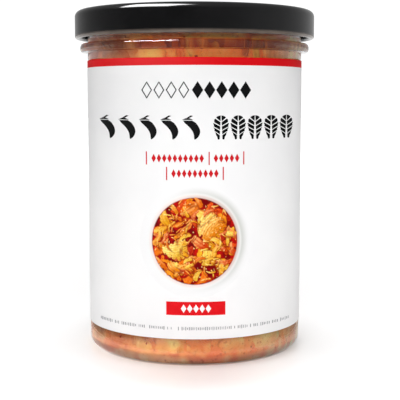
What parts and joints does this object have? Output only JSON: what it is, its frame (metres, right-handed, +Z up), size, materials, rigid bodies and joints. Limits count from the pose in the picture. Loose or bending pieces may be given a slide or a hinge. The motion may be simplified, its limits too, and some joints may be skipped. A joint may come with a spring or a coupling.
{
  "type": "kimchi jar",
  "caption": "Straight clear glass jar of cut cabbage kimchi with a carrying ring, a black twist-off lid and a wrap-around paper label.",
  "frame": {"origin": "centre of the base ring that the jar stands on", "axes": "+Z up along the jar's axis, -Y towards the middle of the label's printed front"},
  "size_m": [0.0792, 0.0792, 0.1107],
  "materials": {
    "glass": "clear polished",
    "lid_black": "smooth satin lacquer",
    "label_paper": "smooth coated white with a red top band",
    "kimchi": "wet red-orange food"
  },
  "bodies": {
    "root": {"jar": "glass", "lid": "lid_black", "label": "label_paper", "kimchi": "kimchi"}
  },
  "joints": []
}
